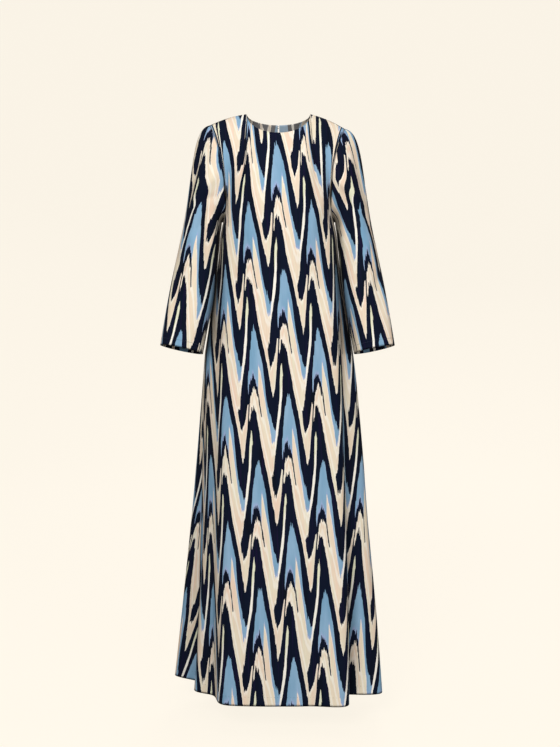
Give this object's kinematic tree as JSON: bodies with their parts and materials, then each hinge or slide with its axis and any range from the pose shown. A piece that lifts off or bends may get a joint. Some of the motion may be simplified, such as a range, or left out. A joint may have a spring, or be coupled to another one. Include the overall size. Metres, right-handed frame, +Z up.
{
  "type": "abaya",
  "caption": "Full length hollow abaya with long set-in sleeves, round neck, back neck slit with a button, and soft folds that widen to the hem.",
  "frame": {"origin": "midway between the shoulders at the middle of the neck opening, where the wearer's shoulders hold the garment", "axes": "+Z up, the front of the garment faces -Y, +X to the right as seen from the front"},
  "size_m": [0.5971, 0.3865, 1.4752],
  "materials": {
    "print_cloth": "matte printed weave",
    "button": "polished",
    "loop_cord": "matte cord"
  },
  "bodies": {
    "root": {"front_panel": "print_cloth", "back_panel": "print_cloth", "sleeve_left": "print_cloth", "sleeve_right": "print_cloth", "back_button": "button", "button_loop": "loop_cord"}
  },
  "joints": []
}
